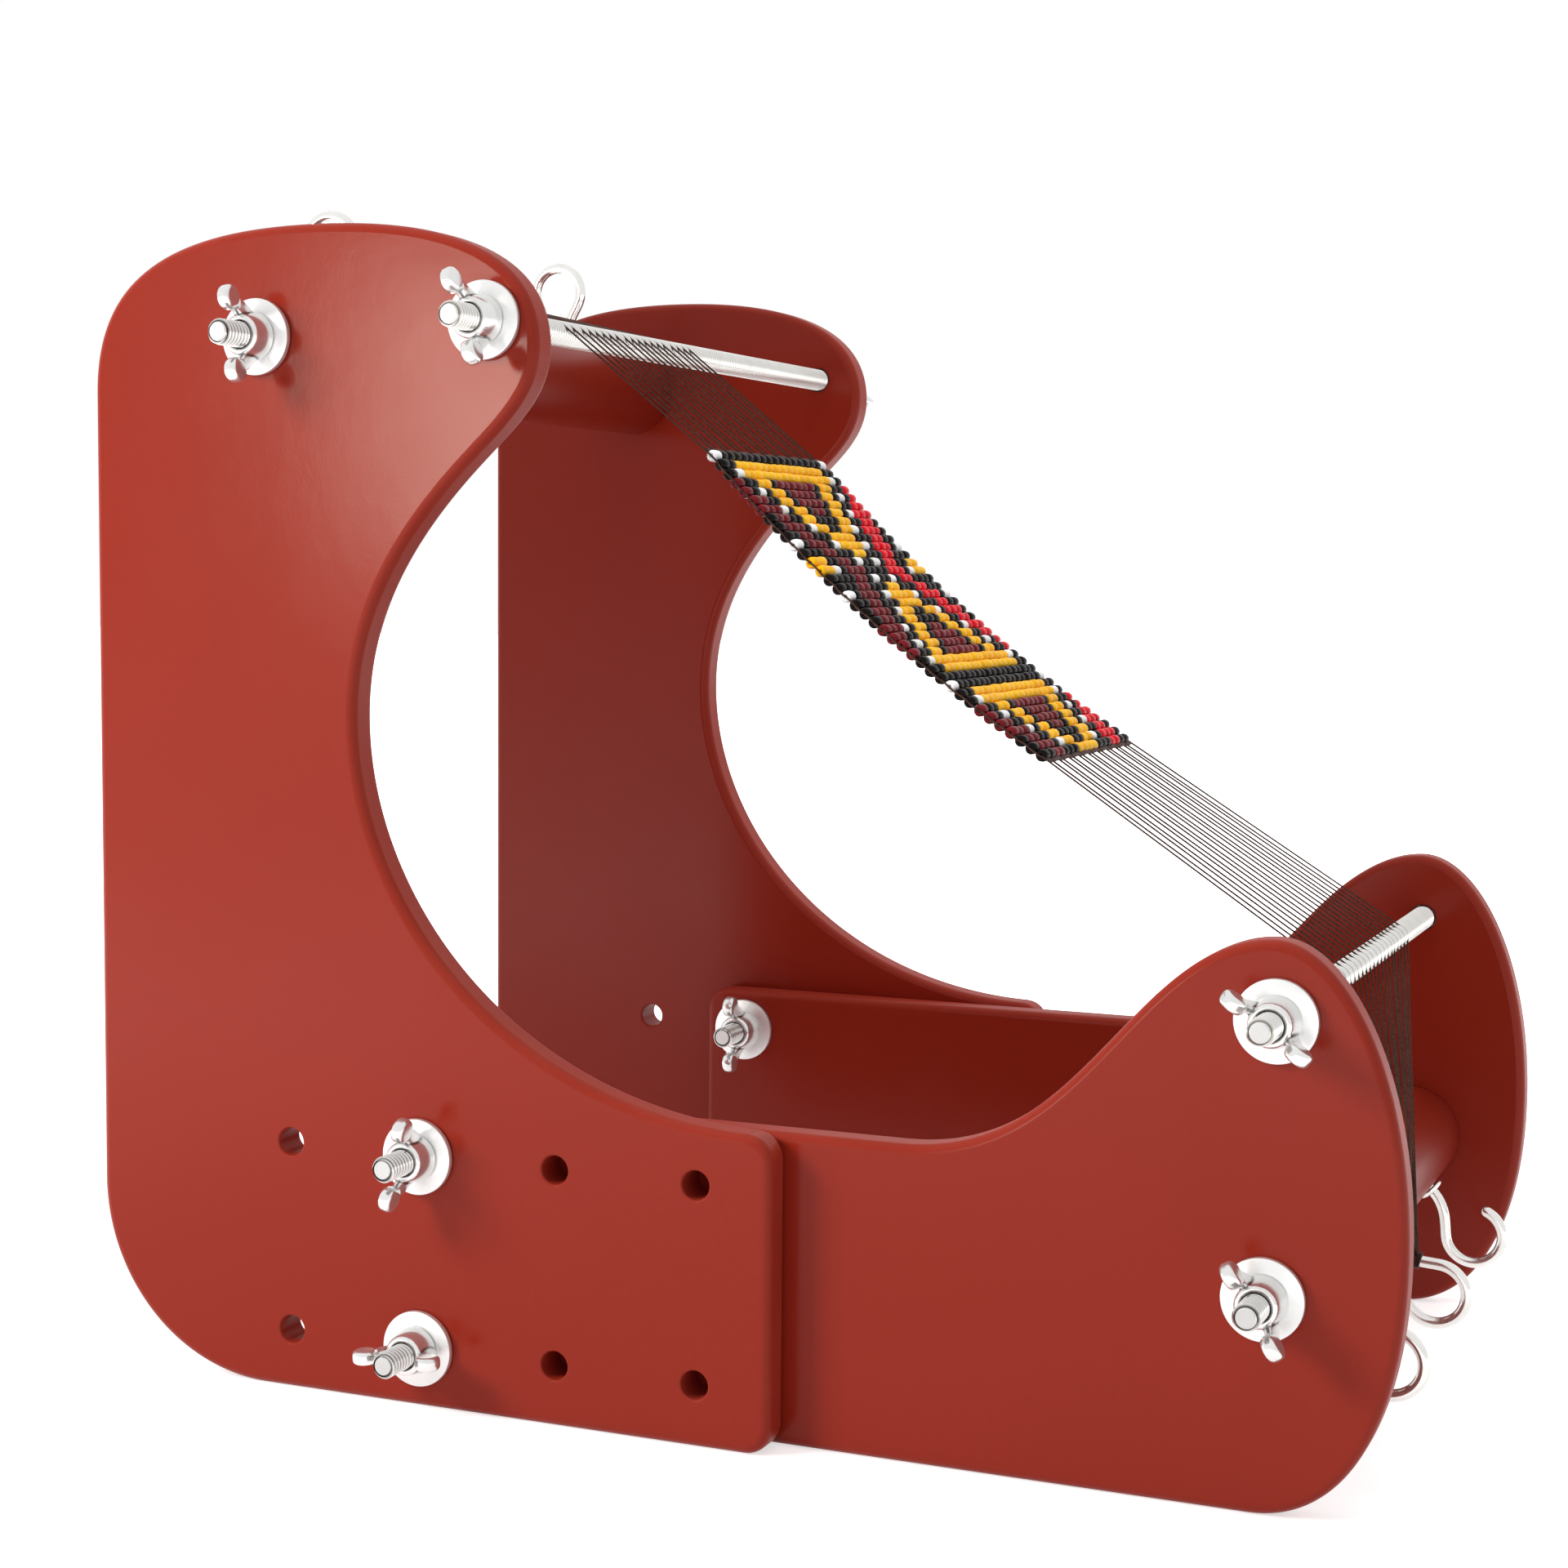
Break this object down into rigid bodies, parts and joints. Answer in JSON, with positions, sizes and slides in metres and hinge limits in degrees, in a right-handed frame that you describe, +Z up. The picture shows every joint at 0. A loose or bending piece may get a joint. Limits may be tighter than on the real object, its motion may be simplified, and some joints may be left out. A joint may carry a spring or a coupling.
{
  "type": "bead loom",
  "caption": "Adjustable tabletop bead loom: two bolted C-shaped side frames, hook bars, threaded spacer rods, wing nuts and a part-woven bead strip.",
  "frame": {"origin": "under the middle of the loom's box, on the table", "axes": "+X from the tall rear to the low front, +Y to the beader's right, +Z up"},
  "size_m": [0.3302, 0.2516, 0.2973],
  "materials": {
    "red_panel": "satin brick-red sheet with rounded edges",
    "red_bar": "satin brick-red round bar",
    "zinc_rod": "bright zinc-plated thread",
    "zinc_washer": "bright zinc-plated washer",
    "zinc_nut": "bright zinc-plated wing nut",
    "hook_wire": "bright nickel-plated wire",
    "beads": "opaque glass seed beads in black, white, yellow, red and maroon",
    "warp_thread": "fine pale nylon thread"
  },
  "bodies": {
    "frame": {"left_rear_panel": "red_panel", "left_front_panel": "red_panel", "right_rear_panel": "red_panel", "right_front_panel": "red_panel", "rear_bar_rod": "zinc_rod", "front_bar_rod": "zinc_rod", "upper_spacer_rod": "zinc_rod", "lower_spacer_rod": "zinc_rod", "left_lower_joint_bolt": "zinc_rod", "left_upper_joint_bolt": "zinc_rod", "right_lower_joint_bolt": "zinc_rod", "right_upper_joint_bolt": "zinc_rod", "bead_strip": "beads", "upper_warp": "warp_thread", "lower_warp": "warp_thread"},
    "rear_bar": {"rear_hook_bar": "red_bar", "rear_hook_left": "hook_wire", "rear_hook_middle": "hook_wire", "rear_hook_right": "hook_wire", "rear_tail_left": "warp_thread", "rear_tail_middle": "warp_thread"},
    "front_bar": {"front_hook_bar": "red_bar", "front_hook_left": "hook_wire", "front_hook_middle": "hook_wire", "front_hook_right": "hook_wire", "front_tail": "warp_thread"},
    "left_rear_bar_ring": {"left_rear_bar_washer": "zinc_washer"},
    "left_rear_bar_nut": {"left_rear_bar_wing_nut": "zinc_nut"},
    "right_rear_bar_ring": {"right_rear_bar_washer": "zinc_washer"},
    "right_rear_bar_nut": {"right_rear_bar_wing_nut": "zinc_nut"},
    "left_upper_spacer_ring": {"left_upper_spacer_washer": "zinc_washer"},
    "left_upper_spacer_nut": {"left_upper_spacer_wing_nut": "zinc_nut"},
    "right_upper_spacer_ring": {"right_upper_spacer_washer": "zinc_washer"},
    "right_upper_spacer_nut": {"right_upper_spacer_wing_nut": "zinc_nut"},
    "left_lower_spacer_ring": {"left_lower_spacer_washer": "zinc_washer"},
    "left_lower_spacer_nut": {"left_lower_spacer_wing_nut": "zinc_nut"},
    "right_lower_spacer_ring": {"right_lower_spacer_washer": "zinc_washer"},
    "right_lower_spacer_nut": {"right_lower_spacer_wing_nut": "zinc_nut"},
    "left_front_bar_ring": {"left_front_bar_washer": "zinc_washer"},
    "left_front_bar_nut": {"left_front_bar_wing_nut": "zinc_nut"},
    "right_front_bar_ring": {"right_front_bar_washer": "zinc_washer"},
    "right_front_bar_nut": {"right_front_bar_wing_nut": "zinc_nut"},
    "left_lower_joint_ring": {"left_lower_joint_washer": "zinc_washer"},
    "left_lower_joint_nut": {"left_lower_joint_wing_nut": "zinc_nut"},
    "right_lower_joint_ring": {"right_lower_joint_washer": "zinc_washer"},
    "right_lower_joint_nut": {"right_lower_joint_wing_nut": "zinc_nut"},
    "left_upper_joint_ring": {"left_upper_joint_washer": "zinc_washer"},
    "left_upper_joint_nut": {"left_upper_joint_wing_nut": "zinc_nut"},
    "right_upper_joint_ring": {"right_upper_joint_washer": "zinc_washer"},
    "right_upper_joint_nut": {"right_upper_joint_wing_nut": "zinc_nut"}
  },
  "joints": [
    {"name": "rear_bar_turn", "type": "hinge", "parent": "frame", "child": "rear_bar", "pos_m": [-0.1158, 0, 0.261], "axis": [0, 1, 0], "range_deg": [-20, 20], "deforming": ["rear_tail_left", "rear_tail_middle"]},
    {"name": "front_bar_turn", "type": "hinge", "parent": "frame", "child": "front_bar", "pos_m": [0.1344, 0, 0.0488], "axis": [0, 1, 0], "range_deg": [-20, 20], "deforming": ["front_tail"]},
    {"name": "left_rear_bar_travel", "type": "slide", "parent": "frame", "child": "left_rear_bar_ring", "axis": [0, -1, 0], "range_m": [0, 0.00762]},
    {"name": "left_rear_bar_turn", "type": "hinge", "parent": "left_rear_bar_ring", "child": "left_rear_bar_nut", "pos_m": [-0.1158, -0.11, 0.261], "axis": [0, -1, 0], "range_deg": [0, 2160]},
    {"name": "right_rear_bar_travel", "type": "slide", "parent": "frame", "child": "right_rear_bar_ring", "axis": [0, 1, 0], "range_m": [0, 0.00762]},
    {"name": "right_rear_bar_turn", "type": "hinge", "parent": "right_rear_bar_ring", "child": "right_rear_bar_nut", "pos_m": [-0.1158, 0.11, 0.261], "axis": [0, 1, 0], "range_deg": [0, 2160]},
    {"name": "left_upper_spacer_travel", "type": "slide", "parent": "frame", "child": "left_upper_spacer_ring", "axis": [0, -1, 0], "range_m": [0, 0.00762]},
    {"name": "left_upper_spacer_turn", "type": "hinge", "parent": "left_upper_spacer_ring", "child": "left_upper_spacer_nut", "pos_m": [-0.0528, -0.11, 0.2634], "axis": [0, -1, 0], "range_deg": [0, 2160]},
    {"name": "right_upper_spacer_travel", "type": "slide", "parent": "frame", "child": "right_upper_spacer_ring", "axis": [0, 1, 0], "range_m": [0, 0.00762]},
    {"name": "right_upper_spacer_turn", "type": "hinge", "parent": "right_upper_spacer_ring", "child": "right_upper_spacer_nut", "pos_m": [-0.0528, 0.11, 0.2634], "axis": [0, 1, 0], "range_deg": [0, 2160]},
    {"name": "left_lower_spacer_travel", "type": "slide", "parent": "frame", "child": "left_lower_spacer_ring", "axis": [0, -1, 0], "range_m": [0, 0.00762]},
    {"name": "left_lower_spacer_turn", "type": "hinge", "parent": "left_lower_spacer_ring", "child": "left_lower_spacer_nut", "pos_m": [0.1359, -0.1, 0.11], "axis": [0, -1, 0], "range_deg": [0, 2160]},
    {"name": "right_lower_spacer_travel", "type": "slide", "parent": "frame", "child": "right_lower_spacer_ring", "axis": [0, 1, 0], "range_m": [0, 0.00762]},
    {"name": "right_lower_spacer_turn", "type": "hinge", "parent": "right_lower_spacer_ring", "child": "right_lower_spacer_nut", "pos_m": [0.1359, 0.1, 0.11], "axis": [0, 1, 0], "range_deg": [0, 2160]},
    {"name": "left_front_bar_travel", "type": "slide", "parent": "frame", "child": "left_front_bar_ring", "axis": [0, -1, 0], "range_m": [0, 0.00762]},
    {"name": "left_front_bar_turn", "type": "hinge", "parent": "left_front_bar_ring", "child": "left_front_bar_nut", "pos_m": [0.1344, -0.1, 0.0488], "axis": [0, -1, 0], "range_deg": [0, 2160]},
    {"name": "right_front_bar_travel", "type": "slide", "parent": "frame", "child": "right_front_bar_ring", "axis": [0, 1, 0], "range_m": [0, 0.00762]},
    {"name": "right_front_bar_turn", "type": "hinge", "parent": "right_front_bar_ring", "child": "right_front_bar_nut", "pos_m": [0.1344, 0.1, 0.0488], "axis": [0, 1, 0], "range_deg": [0, 2160]},
    {"name": "left_lower_joint_travel", "type": "slide", "parent": "frame", "child": "left_lower_joint_ring", "axis": [0, -1, 0], "range_m": [0, 0.00762]},
    {"name": "left_lower_joint_turn", "type": "hinge", "parent": "left_lower_joint_ring", "child": "left_lower_joint_nut", "pos_m": [-0.0711, -0.11, 0.015], "axis": [0, -1, 0], "range_deg": [0, 2160]},
    {"name": "right_lower_joint_travel", "type": "slide", "parent": "frame", "child": "right_lower_joint_ring", "axis": [0, -1, 0], "range_m": [0, 0.00762]},
    {"name": "right_lower_joint_turn", "type": "hinge", "parent": "right_lower_joint_ring", "child": "right_lower_joint_nut", "pos_m": [-0.0711, 0.08, 0.015], "axis": [0, -1, 0], "range_deg": [0, 2160]},
    {"name": "left_upper_joint_travel", "type": "slide", "parent": "frame", "child": "left_upper_joint_ring", "axis": [0, -1, 0], "range_m": [0, 0.00762]},
    {"name": "left_upper_joint_turn", "type": "hinge", "parent": "left_upper_joint_ring", "child": "left_upper_joint_nut", "pos_m": [-0.0711, -0.11, 0.0626], "axis": [0, -1, 0], "range_deg": [0, 2160]},
    {"name": "right_upper_joint_travel", "type": "slide", "parent": "frame", "child": "right_upper_joint_ring", "axis": [0, -1, 0], "range_m": [0, 0.00762]},
    {"name": "right_upper_joint_turn", "type": "hinge", "parent": "right_upper_joint_ring", "child": "right_upper_joint_nut", "pos_m": [-0.0711, 0.08, 0.0626], "axis": [0, -1, 0], "range_deg": [0, 2160]}
  ],
  "couplings": [
    {"joint": "left_rear_bar_travel", "follows": "left_rear_bar_turn", "m_per_rad": 0.00020213},
    {"joint": "right_rear_bar_travel", "follows": "right_rear_bar_turn", "m_per_rad": 0.00020213},
    {"joint": "left_upper_spacer_travel", "follows": "left_upper_spacer_turn", "m_per_rad": 0.00020213},
    {"joint": "right_upper_spacer_travel", "follows": "right_upper_spacer_turn", "m_per_rad": 0.00020213},
    {"joint": "left_lower_spacer_travel", "follows": "left_lower_spacer_turn", "m_per_rad": 0.00020213},
    {"joint": "right_lower_spacer_travel", "follows": "right_lower_spacer_turn", "m_per_rad": 0.00020213},
    {"joint": "left_front_bar_travel", "follows": "left_front_bar_turn", "m_per_rad": 0.00020213},
    {"joint": "right_front_bar_travel", "follows": "right_front_bar_turn", "m_per_rad": 0.00020213},
    {"joint": "left_lower_joint_travel", "follows": "left_lower_joint_turn", "m_per_rad": 0.00020213},
    {"joint": "right_lower_joint_travel", "follows": "right_lower_joint_turn", "m_per_rad": 0.00020213},
    {"joint": "left_upper_joint_travel", "follows": "left_upper_joint_turn", "m_per_rad": 0.00020213},
    {"joint": "right_upper_joint_travel", "follows": "right_upper_joint_turn", "m_per_rad": 0.00020213}
  ]
}
